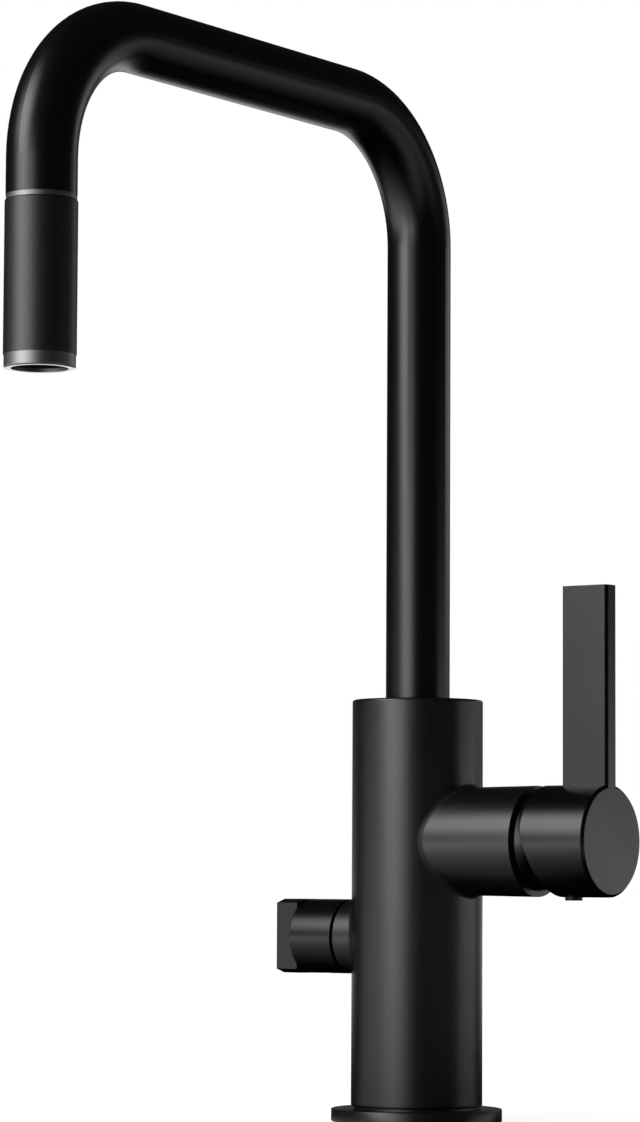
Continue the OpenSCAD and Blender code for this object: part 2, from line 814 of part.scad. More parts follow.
// The rotor that the lever turns, slotted for the stem and for the disc carrier
module cartridge_rotor() {
    slot_y = stem_half + set_gap;
    low = rotor_end_x - pivot_x;
    slot_low = low * tan(lever_tilt) + stem_half / cos(lever_tilt) + 0.3;
    slot_high = stem_root * sin(lever_tilt) + stem_half * cos(lever_tilt) + 0.8;
    boss_high = disc_travel + carrier_boss_r + 0.4;
    color("#2f6db0") difference() {
        union() {
            on_arm(rotor_flange_x)
                cylinder(h = chamber_x - run_gap - rotor_flange_x, r = chamber_r - run_gap);
            on_arm(rotor_flange_x) cylinder(h = rotor_end_x - rotor_flange_x, r = rotor_r);
        }
        translate([rotor_flange_x - cut, -slot_y, arm_h - slot_low])
            cube([rotor_end_x - rotor_flange_x + 2 * cut, 2 * slot_y, slot_low + slot_high]);
        translate([rotor_flange_x - cut, -carrier_boss_r - 0.2, arm_h - carrier_boss_r - 0.4])
            cube([pivot_x - stem_root - rotor_flange_x + cut, 2 * carrier_boss_r + 0.4,
                carrier_boss_r + 0.4 + boss_high]);
        translate([pivot_x, 0, arm_h]) rotate([90, 0, 0])
            cylinder(h = 2 * rotor_r + cut, r = pivot_r, center = true);
    }
}

module pivot_pin() {
    color("#8d9094") translate([pivot_x, 0, arm_h]) rotate([90, 0, 0])
        cylinder(h = 2 * rotor_r - 1.8, r = pivot_r, center = true);
}

module moving_disc() {
    color("#f2f0ea") on_arm(moving_disc_x) difference() {
        cylinder(h = moving_disc_t, r = moving_disc_r);
        translate([1.5, 0, -cut]) cylinder(h = 1.8 + cut, r = 7.5);
        translate([-4.1, -4.1, moving_disc_t - 1.2]) cube([8.2, 8.2, 1.2 + cut]);
    }
}

module disc_carrier() {
    color("#e9e6dc") on_arm(0) difference() {
        union() {
            translate([0, 0, carrier_x]) cylinder(h = carrier_t, r = moving_disc_r - 1);
            translate([0, 0, carrier_x]) cylinder(h = carrier_end_x - carrier_x, r = carrier_boss_r);
            translate([-4, -4, carrier_x - 1.2]) cube([8, 8, 2]);
        }
        translate([0, 0, ball_x - ball_r - 0.3]) cylinder(h = ball_r * 2 + cut, r = ball_r + 0.2);
    }
}

module lever_stem() {
    color("#b8964a") difference() {
        union() {
            translate([ball_x, 0, arm_h]) sphere(r = ball_r, $fn = 48);
            on_arm(ball_x) cylinder(h = ball_arm - stem_root + cut, r = stem_neck_r);
            translate([pivot_x - stem_root, -stem_half, arm_h - stem_half])
                cube([stem_root + stem_l, stem_w, stem_w]);
        }
        translate([pivot_x, 0, arm_h]) rotate([90, 0, 0])
            cylinder(h = stem_w + 2 * cut, r = pivot_r + run_gap, center = true);
    }
}

// The cap's skin: a chamfered drum with its lower rear edge cut back
module cap_outside() {
    difference() {
        union() {
            on_arm(cap_x) cylinder(h = cap_l - handle_chamfer, r = cap_r);
            on_arm(cap_end_x - handle_chamfer)
                cylinder(h = handle_chamfer, r1 = cap_r, r2 = cap_r - handle_chamfer);
        }
        translate([cap_x, 0, arm_h + bevel_z]) rotate([0, -bevel_angle, 0])
            translate([-40, -cap_r - cut, -60]) cube([40, 2 * cap_r + 2 * cut, 60]);
    }
}

module lever_blade() {
    half = lever_t / 2;
    translate([0, 0, arm_h]) linear_extrude(height = lever_h) polygon([
        [cap_end_x - lever_w, -half], [cap_end_x - handle_chamfer, -half],
        [cap_end_x, handle_chamfer - half], [cap_end_x, half - handle_chamfer],
        [cap_end_x - handle_chamfer, half], [cap_end_x - lever_w, half]
    ]);
}

module lever_handle() {
    socket = stem_half + run_gap;
    inside_x = cap_end_x - cap_end_wall;
    color("#26272a") difference() {
        union() {
            difference() {
                union() {
                    cap_outside();
                    lever_blade();
                }
                on_arm(cap_x - 20) cylinder(h = inside_x - cap_x + 20, r = cap_bore_r);
            }
            on_arm(hub_x) cylinder(h = inside_x - hub_x + cut, r = hub_r);
            translate([screw_x, 0, arm_h - plug_step - cut]) cylinder(h = plug_step + cut, r = grub_boss_r);
            intersection() {
                translate([screw_x, 0, arm_h - cap_r]) cylinder(h = cap_r - plug_step, r = plug_boss_r);
                on_arm(cap_x) cylinder(h = cap_l, r = cap_bore_r + 0.5);
            }
        }
        translate([hub_x - cut, -socket, arm_h - socket])
            cube([pivot_x + stem_l + 0.3 - hub_x + cut, 2 * socket, 2 * socket]);
        translate([screw_x, 0, arm_h - cap_r]) cylinder(h = cap_r, r = grub_r + run_gap);
        translate([screw_x, 0, arm_h - cap_r - cut])
            cylinder(h = cap_r + cut - plug_step, r = plug_r + run_gap);
    }
}

module lever_grub_screw() {
    color("#8d9094") translate([screw_x, 0, arm_h - stem_half]) rotate([180, 0, 0]) grub_screw(grub_l);
}

module lever_plug() {
    color("#202124") translate([screw_x, 0, arm_h - cap_r - plug_proud]) cylinder(h = plug_l, r = plug_r);
}

module clamp_gasket() {
    color("#1c1c1c") translate([0, 0, -worktop_t - clamp_gasket_t])
        ring(clamp_d / 2, clamp_hole_r, clamp_gasket_t);
}

module clamp_plate() {
    color("#a6a9ad") translate([0, 0, -worktop_t - clamp_gasket_t - clamp_plate_t])
        ring(clamp_d / 2, clamp_hole_r - 0.4, clamp_plate_t);
}

module clamp_nut() {
    nut_z = -worktop_t - clamp_gasket_t - clamp_plate_t - clamp_lift - clamp_nut_t;
    color("#b8964a") translate([0, 0, nut_z]) difference() {
        ring(clamp_nut_r, shank_r + run_gap, clamp_nut_t);
        for (i = [0 : clamp_screws_n - 1])
            rotate([0, 0, i * 360 / clamp_screws_n]) translate([clamp_screw_ring_r, 0, -cut])
                cylinder(h = clamp_nut_t + 2 * cut, r = clamp_screw_r + run_gap);
    }
}

module clamp_screws() {
    tip_z = -worktop_t - clamp_gasket_t - clamp_plate_t;
    color("#8d9094") for (i = [0 : clamp_screws_n - 1])
        rotate([0, 0, i * 360 / clamp_screws_n]) translate([clamp_screw_ring_r, 0, tip_z]) mirror([0, 0, 1])
            difference() {
                cylinder(h = clamp_screw_l, r = clamp_screw_r);
                translate([-clamp_screw_r - cut, -0.5, clamp_screw_l - 1.2])
                    cube([2 * clamp_screw_r + 2 * cut, 1, 1.2 + cut]);
            }
}

base_flange();
deck_gasket();
column_foot();
foot_ring();
column_body();
port_block();
top_ring();
threaded_shank();
spout_bush_upper();
spout_bush_lower();
swing_stop_screw();
hose_foot();
cartridge_housing();
cartridge_base();
cartridge_seals();
fixed_disc();
cartridge_nut();
dome_ring();
valve_housing();
valve_seal();
valve_fixed_disc();
spout_pipe();
swing_collar();
dock_ring();
dock_sleeve();
hose_riser();
hose_tail();
hose_nut();
hose_washer();
head_shell();
head_waterway();
check_valve();
outlet_ring();
aerator_insert();
aerator_seal();
cartridge_rotor();
pivot_pin();
moving_disc();
disc_carrier();
lever_stem();
lever_handle();
lever_grub_screw();
lever_plug();
valve_spindle();
valve_moving_disc();
shutoff_knob();
knob_grub_screw();
clamp_gasket();
clamp_plate();
clamp_nut();
clamp_screws();
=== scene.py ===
"""Finishes, fine pieces, light and camera for a kitchen mixer tap.

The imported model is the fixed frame. Lengths are in metres: +Z is up, z = 0 is the worktop, the spout
reaches along -Y and the lever's arm along +X.
"""

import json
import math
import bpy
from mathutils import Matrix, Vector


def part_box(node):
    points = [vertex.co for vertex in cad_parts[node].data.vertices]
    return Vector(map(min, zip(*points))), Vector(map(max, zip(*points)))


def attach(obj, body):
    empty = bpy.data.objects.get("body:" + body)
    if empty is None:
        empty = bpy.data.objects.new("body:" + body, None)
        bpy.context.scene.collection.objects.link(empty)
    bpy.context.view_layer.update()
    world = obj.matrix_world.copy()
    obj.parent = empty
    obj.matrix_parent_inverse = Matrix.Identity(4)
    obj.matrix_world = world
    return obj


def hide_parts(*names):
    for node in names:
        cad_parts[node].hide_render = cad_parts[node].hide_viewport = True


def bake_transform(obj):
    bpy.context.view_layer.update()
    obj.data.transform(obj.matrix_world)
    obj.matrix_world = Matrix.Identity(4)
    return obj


bl_info = {
    "name": "Kitchen mixer tap",
    "version": (1, 0, 0),
    "blender": (4, 5, 0),
    "location": "View3D > Sidebar > Tap",
    "description": "Finishes, fine pieces, light and camera for a kitchen mixer tap",
    "category": "Object",
}

import bmesh
import bpy
from mathutils import Matrix, Quaternion, Vector

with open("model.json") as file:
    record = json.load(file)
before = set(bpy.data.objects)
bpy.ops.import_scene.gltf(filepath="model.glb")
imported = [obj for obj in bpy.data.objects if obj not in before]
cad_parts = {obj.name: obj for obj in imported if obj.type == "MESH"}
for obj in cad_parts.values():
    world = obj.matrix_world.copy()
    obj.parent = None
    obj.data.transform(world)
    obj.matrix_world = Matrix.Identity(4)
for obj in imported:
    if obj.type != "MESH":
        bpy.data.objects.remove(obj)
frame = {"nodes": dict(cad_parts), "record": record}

MM = 0.001
TURN = 2 * math.pi

# Refractive index of the coat, of the duller coat on the column and the head, and of the plastics
COAT_IOR = 1.75
DULL_IOR = 1.9
PLASTIC_IOR = 1.5
MATT_IOR = 1.2
# Tint of a coat's gloss
NEUTRAL = (1.0, 1.0, 1.0, 1.0)
COOL = (0.94, 0.945, 1.0, 1.0)
# How closely turning marks lie along X, Y and Z, per metre
TURNED = (70.0, 70.0, 8000.0)
# Depth of the grain, and radius that the finish gives to sharp edges
GRAIN_DEPTH = 0.1 * MM
FINE_EDGE = 0.15 * MM
COAT_EDGE = 0.35 * MM

# The photo's camera, from the object's own edges in the picture
IMAGE_HEIGHT = 1122
SENSOR = 36.0
FOCAL_PIXELS = 3841.5
CAMERA_AZIMUTH = math.radians(34.154)
CAMERA_DISTANCE = 1.4735
CAMERA_HEIGHT = 0.0917
CAMERA_TURN = math.radians(-1.469)
CAMERA_TILT = math.radians(4.725)
CAMERA_ROLL = math.radians(0.298)

# What the lamps face: the middle of the whole tap, and of its column
TAP_MIDDLE = Vector((0.0, -0.08, 0.2))
COLUMN_MIDDLE = Vector((0.02, 0.0, 0.08))
# Where the strips behind the lever stand, in degrees round the tap, and half the angle of their grids
REAR_STRIPS = (117, 126, 135, 144, 153)
GRID_SPREAD = 7.5
# Where the parts of the floor lie that the coat mirrors, in degrees round the tap
FLOOR_FRONT = -28
FLOOR_SIDE = 90
FLOOR_REAR = 130


def node_box(node):
    """Lowest and highest corner of a CAD node."""
    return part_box(node)


def node_centre(node):
    """Middle of a CAD node's box."""
    low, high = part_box(node)
    return (low + high) / 2


COLUMN_R = node_box("column_body")[1].y
FLANGE_LOW, FLANGE_HIGH = node_box("base_flange")
SHANK_LOW, SHANK_HIGH = node_box("threaded_shank")
TAIL_LOW, TAIL_HIGH = node_box("hose_tail")
OUTLET = node_centre("outlet_ring")
# The arm and the valve's boss: height of the axis, radius at the column's axis and at the end, length
ARM_Z = node_centre("dome_ring").z
ARM_ROOT_R = 20.1 * MM
ARM_END_R = 20.8 * MM
ARM_LENGTH = 54.6 * MM
VALVE_Z = node_centre("valve_housing").z
VALVE_R = 14.3 * MM
VALVE_LENGTH = 29.6 * MM
# Radius of the hole in the base disc
FLANGE_BORE = 16.55 * MM
# Keeps the floor and the underside of the base disc from lying in one plane
FLOOR_DROP = 0.05 * MM
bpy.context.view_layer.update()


class Link:
    """A node's output socket. The operators + - * / and ** on it add Math nodes."""

    def __init__(self, build, socket):
        self.build = build
        self.socket = socket

    def math(self, operation, first, second):
        return self.build.node("ShaderNodeMath", {"operation": operation}, {0: first, 1: second})

    def __add__(self, other):
        return self.math("ADD", self, other)

    def __radd__(self, other):
        return self.math("ADD", other, self)

    def __sub__(self, other):
        return self.math("SUBTRACT", self, other)

    def __rsub__(self, other):
        return self.math("SUBTRACT", other, self)

    def __mul__(self, other):
        return self.math("MULTIPLY", self, other)

    def __rmul__(self, other):
        return self.math("MULTIPLY", other, self)

    def __truediv__(self, other):
        return self.math("DIVIDE", self, other)

    def __rtruediv__(self, other):
        return self.math("DIVIDE", other, self)

    def __pow__(self, other):
        return self.math("POWER", self, other)

    def __rpow__(self, other):
        return self.math("POWER", other, self)


class Build:
    """One node tree and the method that adds its nodes."""

    def __init__(self, tree):
        self.tree = tree
        tree.nodes.clear()

    def node(self, kind, settings=None, inputs=None, output=0):
        """Adds a node: first its settings, then the values or links of its sockets."""
        made = self.tree.nodes.new(kind)
        for name, value in (settings or {}).items():
            setattr(made, name, value)
        for name, value in (inputs or {}).items():
            if isinstance(value, Link):
                self.tree.links.new(value.socket, made.inputs[name])
            else:
                made.inputs[name].default_value = value
        return Link(self, made.outputs[output]) if len(made.outputs) else made

    def light_path(self):
        """The kinds of ray, by name."""
        made = self.tree.nodes.new("ShaderNodeLightPath")
        return {socket.name: Link(self, socket) for socket in made.outputs}

    def place(self):
        """A surface point in metres, in the frame of its piece."""
        return self.node("ShaderNodeTexCoord", output="Object")

    def noise(self, place, scale, detail=2.0, roughness=0.5):
        inputs = {"Vector": place, "Scale": scale, "Detail": detail, "Roughness": roughness}
        return self.node("ShaderNodeTexNoise", {"noise_dimensions": "3D"}, inputs, "Fac")

    def stretched(self, place, factors):
        return self.node("ShaderNodeVectorMath", {"operation": "MULTIPLY"}, {0: place, 1: factors})

    def along(self, place, heading):
        """How far a point lies along a heading."""
        product = {"operation": "DOT_PRODUCT"}
        return self.node("ShaderNodeVectorMath", product, {0: place, 1: heading}, "Value")

    def ramp(self, value, start, end, low, high):
        """A value that goes evenly from low at start to high at end, and stays there."""
        stops = {"Value": value, "From Min": start, "From Max": end, "To Min": low, "To Max": high}
        return self.node("ShaderNodeMapRange", {"clamp": True}, stops)

    def mixed(self, factor, first, second):
        """Mix of two colours."""
        return self.node("ShaderNodeMix", {"data_type": "RGBA"}, {0: factor, 6: first, 7: second}, 2)

    def bump(self, height, strength, edge=None):
        inputs = {"Height": height, "Strength": strength, "Distance": GRAIN_DEPTH}
        if edge is not None:
            inputs["Normal"] = edge
        return self.node("ShaderNodeBump", None, inputs, "Normal")

    def soft_edge(self, radius):
        """The surface's normal, rounded over sharp edges."""
        return self.node("ShaderNodeBevel", {"samples": 6}, {"Radius": radius}, "Normal")

    def surface(self, inputs):
        shader = self.node("ShaderNodeBsdfPrincipled", None, inputs)
        self.node("ShaderNodeOutputMaterial", None, {"Surface": shader})


def new_material(name):
    """An empty material and the build of its nodes."""
    material = bpy.data.materials.new(name)
    material.use_nodes = True
    return material, Build(material.node_tree)


def grey(value):
    return (value, value, value, 1.0)


def shade(colour, factor=1.0):
    """A colour times a factor, with full alpha."""
    return (colour[0] * factor, colour[1] * factor, colour[2] * factor, 1.0)


def satin_coat(name, base, roughness, turned=None, edge=0.0, ior=COAT_IOR, sheen_tint=NEUTRAL):
    """Satin black coat. turned gives how closely its fine turning marks lie along X, Y and Z."""
    material, build = new_material(name)
    place = build.place()
    cloud = build.noise(place, 45.0, 3.0)
    grain = build.noise(place, 2600.0)
    height = grain
    if turned is not None:
        height = grain * 0.5 + build.noise(build.stretched(place, turned), 1.0)
    build.surface({
        "Base Color": build.mixed(cloud, shade(base, 0.8), shade(base, 1.25)),
        "Roughness": cloud * 0.06 + (roughness - 0.03),
        "IOR": ior,
        "Specular Tint": sheen_tint,
        "Normal": build.bump(height, 0.05, build.soft_edge(edge) if edge else None),
    })
    return material


def brushed_metal(name, base, stretch, roughness=0.28):
    """Bare metal with fine brushing across the given axes."""
    material, build = new_material(name)
    place = build.place()
    marks = build.noise(build.stretched(place, stretch), 1.0, 3.0, 0.6)
    cloud = build.noise(place, 120.0)
    build.surface({
        "Base Color": build.mixed(marks, shade(base, 0.88), shade(base)),
        "Metallic": 1.0,
        "Roughness": cloud * 0.08 + (roughness - 0.04),
        "Normal": build.bump(marks, 0.12, build.soft_edge(FINE_EDGE)),
    })
    return material


def ring_steel(name, wall, face, wall_roughness, face_roughness):
    """Turned steel ring, with its own roughness on its round wall and on its level faces. Its grey is
    painted too: darker on the round wall as painted shade, and paler on the level faces as painted
    light.
    """
    material, build = new_material(name)
    place = build.place()
    marks = build.noise(build.stretched(place, TURNED), 1.0, 3.0, 0.6)
    upright = build.along(build.node("ShaderNodeTexCoord", output="Normal"), (0.0, 0.0, 1.0))
    # How level the surface is, facing up or down: this mask carries the painted light of the level faces
    # and the painted shade of the wall
    level = build.ramp(upright ** 2, 0.3, 0.8, 0.0, 1.0)
    dark = build.mixed(level, shade(wall, 0.86), shade(face))
    plain = build.mixed(level, shade(wall), shade(face))
    build.surface({
        "Base Color": build.mixed(marks, dark, plain),
        "Metallic": 1.0,
        "Roughness": level * (face_roughness - wall_roughness) + wall_roughness,
        "Normal": build.bump(marks, 0.1),
    })
    return material


def moulded(name, base, roughness, grain_scale=1500.0, grain_strength=0.08, ior=PLASTIC_IOR):
    """Moulded plastic, rubber or ceramic."""
    material, build = new_material(name)
    place = build.place()
    cloud = build.noise(place, 80.0)
    grain = build.noise(place, grain_scale)
    build.surface({
        "Base Color": build.mixed(cloud, shade(base, 0.85), shade(base)),
        "Roughness": cloud * 0.1 + (roughness - 0.05),
        "IOR": ior,
        "Normal": build.bump(grain, grain_strength, build.soft_edge(FINE_EDGE)),
    })
    return material


def finishes():
    """One material for each slot of the record."""
    look = bpy.context.scene.tap_look
    black = tuple(look.coat_colour)
    matt = look.coat_roughness
    fine = TURNED[2]
    return {
        "black_coat": satin_coat("black_coat", black, matt, edge=COAT_EDGE, sheen_tint=COOL),
        "stainless": brushed_metal("stainless", tuple(look.steel_colour), TURNED),
        "zinc_steel": brushed_metal("zinc_steel", (0.58, 0.59, 0.61), (fine, fine, fine), 0.3),
        "bare_brass": brushed_metal("bare_brass", (0.78, 0.6, 0.32), TURNED, 0.3),
        "seal_rubber": moulded("seal_rubber", (0.018, 0.018, 0.018), 0.7),
        "ceramic": moulded("ceramic", (0.88, 0.87, 0.83), 0.15,
                           grain_scale=900.0, grain_strength=0.02),
        "white_plastic": moulded("white_plastic", (0.8, 0.79, 0.75), 0.45),
        "blue_plastic": moulded("blue_plastic", (0.05, 0.2, 0.42), 0.4),
        "grey_plastic": moulded("grey_plastic", (0.07, 0.072, 0.078), 0.45),
        "black_plastic": moulded("black_plastic", (0.01, 0.01, 0.011), 0.42),
        "hose_braid": moulded("hose_braid", (0.04, 0.04, 0.043), 0.55,
                              grain_scale=700.0, grain_strength=0.5),
    }


def dress_nodes():
    """Gives each CAD node the finish of its slot, and some nodes a finish of their own."""
    made = finishes()
    look = bpy.context.scene.tap_look
    matt = look.coat_roughness
    dull_black = tuple(look.coat_colour * look.dull_gain)
    column = satin_coat("black_coat_column", dull_black, matt + 0.05, TURNED,
                        ior=DULL_IOR, sheen_tint=COOL)
    own = {
        "column_foot": column,
        "column_body": column,
        "base_flange": column,
        "spout_pipe": satin_coat("black_coat_pipe", tuple(look.coat_colour), matt + 0.01),
        "head_shell": satin_coat("black_coat_head", dull_black, matt + 0.14, ior=DULL_IOR),
        # The steel rings' greys hold painted shade on their round walls and painted light on their level
        # faces
        "outlet_ring": ring_steel("outlet_steel", (0.42, 0.42, 0.415), (0.85, 0.845, 0.835), 0.42, 0.16),
        "dock_ring": ring_steel("dock_steel", (0.4, 0.4, 0.395), (0.6, 0.595, 0.585), 0.45, 0.3),
        "aerator_insert": moulded("aerator_black", (0.004, 0.004, 0.004), 0.75, ior=MATT_IOR),
    }
    for part in frame["record"]["subparts"]:
        mesh = frame["nodes"][part["node"]].data
        mesh.materials.clear()
        mesh.materials.append(own.get(part["node"], made[part["material_slot"]]))
        for face in mesh.polygons:
            face.use_smooth = True


def studio_camera():
    """The photograph's camera."""
    out = Vector((math.sin(CAMERA_AZIMUTH), -math.cos(CAMERA_AZIMUTH), 0.0))
    side = Vector((math.cos(CAMERA_AZIMUTH), math.sin(CAMERA_AZIMUTH), 0.0))
    up = Vector((0.0, 0.0, 1.0))
    level = side * math.sin(CAMERA_TURN) - out * math.cos(CAMERA_TURN)
    right = side * math.cos(CAMERA_TURN) + out * math.sin(CAMERA_TURN)
    ahead = level * math.cos(CAMERA_TILT) + up * math.sin(CAMERA_TILT)
    above = up * math.cos(CAMERA_TILT) - level * math.sin(CAMERA_TILT)
    rolled_right = right * math.cos(CAMERA_ROLL) + above * math.sin(CAMERA_ROLL)
    rolled_above = above * math.cos(CAMERA_ROLL) - right * math.sin(CAMERA_ROLL)
    data = bpy.data.cameras.new("photo_camera")
    data.sensor_width = SENSOR
    data.lens = FOCAL_PIXELS * SENSOR / IMAGE_HEIGHT
    data.clip_start = 0.01
    camera = bpy.data.objects.new("photo_camera", data)
    bpy.context.scene.collection.objects.link(camera)
    axes = Matrix((rolled_right, rolled_above, -ahead)).transposed()
    camera.matrix_world = Matrix.Translation(out * CAMERA_DISTANCE + up * CAMERA_HEIGHT) @ axes.to_4x4()
    bpy.context.scene.camera = camera


def direction(azimuth, elevation):
    """Unit vector at two angles in degrees. Azimuth 0 is in front, and 90 is on the lever's side."""
    a = math.radians(azimuth)
    e = math.radians(elevation)
    return Vector((math.sin(a) * math.cos(e), -math.cos(a) * math.cos(e), math.sin(e)))


def softbox(name, azimuth, elevation, distance, width, height, radiance,
            roll=0, aim=TAP_MIDDLE, spread=None):
    """A round lamp that faces the tap, brightest in its middle. spread is half the angle of its grid."""
    data = bpy.data.lights.new(name, "AREA")
    data.shape = "ELLIPSE"
    data.size = width
    data.size_y = height
    area = math.pi / 4 * width * height
    data.energy = radiance * math.pi * area
    if spread is not None:
        # The power comes down with the grid's angle, so that the radiance stays
        half = math.radians(spread)
        data.spread = 2 * half
        data.energy *= (math.tan(half) - half) / math.tan(half)
    rolled = Quaternion((0.0, 0.0, 1.0), math.radians(roll))
    turn = direction(azimuth, elevation).to_track_quat("Z", "Y") @ rolled
    lamp = bpy.data.objects.new(name, data)
    bpy.context.scene.collection.objects.link(lamp)
    lamp.location = aim + direction(azimuth, elevation) * distance
    lamp.rotation_euler = turn.to_euler()
    lamp.visible_camera = False
    data.use_nodes = True
    build = Build(data.node_tree)
    place = build.node("ShaderNodeNewGeometry", output="Position")
    inner = build.node("ShaderNodeVectorMath", {"operation": "SUBTRACT"}, {0: place, 1: lamp.location})
    across = build.along(inner, turn @ Vector((2 / width, 0.0, 0.0)))
    up = build.along(inner, turn @ Vector((0.0, 2 / height, 0.0)))
    rim = (across ** 2 + up ** 2) ** 0.5
    glow = build.node("ShaderNodeEmission", None, {"Strength": build.ramp(rim, 0.3, 1.0, 1.0, 0.0)})
    build.node("ShaderNodeOutputLight", None, {"Surface": glow})


def away():
    """Unit vector along the floor, from the camera past the tap."""
    return direction(math.degrees(CAMERA_AZIMUTH) + 180, 0)


def worktop():
    """The pale floor, with the tap's hole in it."""
    stage = bpy.context.scene.tap_stage
    steps = 96
    mesh = bpy.data.meshes.new("worktop")
    shape = bmesh.new()
    rings = []
    for radius in (stage.hole_radius, stage.floor_radius):
        ring = round_ring(0, 0, -FLOOR_DROP, radius, steps)
        rings.append([shape.verts.new(point) for point in ring])
    for i in range(steps):
        j = (i + 1) % steps
        shape.faces.new((rings[0][i], rings[1][i], rings[1][j], rings[0][j]))
    shape.to_mesh(mesh)
    shape.free()
    floor = bpy.data.objects.new("worktop", mesh)
    bpy.context.scene.collection.objects.link(floor)
    material, build = new_material("worktop_white")
    path = build.light_path()
    place = build.place()
    heading = build.node("ShaderNodeVectorMath", {"operation": "NORMALIZE"}, {0: place})
    reach = build.node("ShaderNodeVectorMath", {"operation": "LENGTH"}, {0: place}, "Value")
    grazing = build.node("ShaderNodeLayerWeight", output="Facing")

    def towards(side, start, full, level):
        """A level on one side of the floor: nothing at the cosine start, and all of it at full."""
        return build.ramp(build.along(heading, side), start, full, 0.0, level)

    # Each part of the floor glows over its own distances from the tap, in metres
    front = towards(direction(FLOOR_FRONT, 0), 0.5, 0.98, stage.front_floor)
    front = front * build.ramp(reach, 0.1, 0.8, 0.35, 1.0) * build.ramp(grazing, 0.0, 0.8, 0.05, 1.0)
    rear = towards(direction(FLOOR_REAR, 0), 0.75, 1.0, stage.rear_floor)
    rear = rear * build.ramp(reach, 0.6, 1.5, 0.0, 1.0)
    beside = towards(direction(FLOOR_SIDE, 0), 0.5, 0.95, stage.side_floor)
    beside = beside * build.ramp(reach, 0.25, 0.5, 0.0, 1.0) * build.ramp(reach, 0.8, 1.2, 1.0, 0.0)
    far = build.ramp(build.along(place, away()), 0.8, 1.4, 0.0, 1.0)
    far = far * towards(away(), 0.6, 0.9, 1.0)
    gloss = front + beside + rear + far
    plain = build.node("ShaderNodeBsdfDiffuse", None, {"Color": grey(0.7)})
    shine = build.ramp(reach, 0.15, 0.6, stage.floor_glow, 1.0)
    glow = build.node("ShaderNodeEmission", None, {"Color": shine, "Strength": 1.0})
    lit = build.node("ShaderNodeAddShader", None, {0: plain, 1: glow})
    mirrored = build.node("ShaderNodeEmission", None, {"Color": gloss, "Strength": 1.0})
    unseen = build.node("ShaderNodeMixShader", None, {0: path["Is Glossy Ray"], 1: plain, 2: mirrored})
    direct = path["Is Camera Ray"] + path["Is Transmission Ray"]
    surface = build.node("ShaderNodeMixShader", None, {0: direct, 1: unseen, 2: lit})
    build.node("ShaderNodeOutputMaterial", None, {"Surface": surface})
    mesh.materials.append(material)


def backdrop():
    """The white background, which is the world."""
    stage = bpy.context.scene.tap_stage
    world = bpy.data.worlds.new("studio")
    bpy.context.scene.world = world
    world.use_nodes = True
    build = Build(world.node_tree)
    path = build.light_path()
    ray = build.node("ShaderNodeTexCoord", output="Generated")
    # The coat mirrors the background past the tap, and next to nothing elsewhere
    sweep = build.ramp(build.along(ray, away()), 0.9, 0.97, 0.012, stage.back_glow)
    direct = path["Is Camera Ray"] + path["Is Transmission Ray"]
    brightness = direct + path["Is Glossy Ray"] * sweep
    room = build.node("ShaderNodeBackground", None, {"Color": grey(1.0), "Strength": stage.room_light})
    shown = build.node("ShaderNodeBackground", None, {"Color": grey(1.0), "Strength": brightness})
    seen = direct + path["Is Glossy Ray"]
    surface = build.node("ShaderNodeMixShader", None, {0: seen, 1: room, 2: shown})
    build.node("ShaderNodeOutputWorld", None, {"Surface": surface})


def add_piece(name, points, faces, body, material):
    """Makes a piece of points and faces that rides on a body."""
    mesh = bpy.data.meshes.new(name)
    mesh.from_pydata(points, [], faces)
    mesh.validate()
    shape = bmesh.new()
    shape.from_mesh(mesh)
    bmesh.ops.recalc_face_normals(shape, faces=shape.faces)
    shape.to_mesh(mesh)
    shape.free()
    mesh.shade_smooth()
    mesh.set_sharp_from_angle(angle=math.radians(35))
    mesh.materials.append(material)
    piece = bpy.data.objects.new(name, mesh)
    bpy.context.scene.collection.objects.link(piece)
    if body:
        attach(piece, body)
    return piece


def looped(rings):
    """Points and faces of a closed skin over like rings, where the last ring joins the first."""
    count = len(rings[0])
    points = [point for ring in rings for point in ring]
    faces = []
    for i in range(len(rings)):
        j = (i + 1) % len(rings)
        for k in range(count):
            n = (k + 1) % count
            faces.append((i * count + k, i * count + n, j * count + n, j * count + k))
    return points, faces


def round_ring(x, y, z, radius, sides):
    """One level ring. radius is a number or a function of the turn, from 0 to 1."""
    ring = []
    for k in range(sides):
        turn = k / sides
        r = radius(turn) if callable(radius) else radius
        ring.append(Vector((x + r * math.cos(TURN * turn), y + r * math.sin(TURN * turn), z)))
    return ring


def thread_wave(phase):
    """Height of a thread's profile, from 0 at its root to 1 at its crest, over one pitch."""
    place = phase % 1.0
    rise = 0.375
    crest = 0.125
    if place < rise:
        return place / rise
    if place < rise + crest:
        return 1.0
    if place < 2 * rise + crest:
        return 1.0 - (place - rise - crest) / rise
    return 0.0


def flange_disc():
    """The flat base disc with its crisp turned edge, for the CAD's rounded one."""
    sizes = bpy.context.scene.tap_sizes
    edge = sizes.flange_edge
    radius = FLANGE_HIGH.x
    low = FLANGE_LOW.z
    high = FLANGE_HIGH.z
    bevel = 0.3 * edge
    profile = ((FLANGE_BORE, low), (radius - edge, low), (radius, low + edge), (radius, high - edge),
               (radius - bevel, high - bevel), (radius - edge, high), (FLANGE_BORE, high))
    points, faces = looped([round_ring(0, 0, z, r, sizes.flange_sides) for r, z in profile])
    material = bpy.data.materials["black_coat_column"]
    piece = add_piece("flange_disc", points, faces, "base", material)
    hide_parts("base_flange")


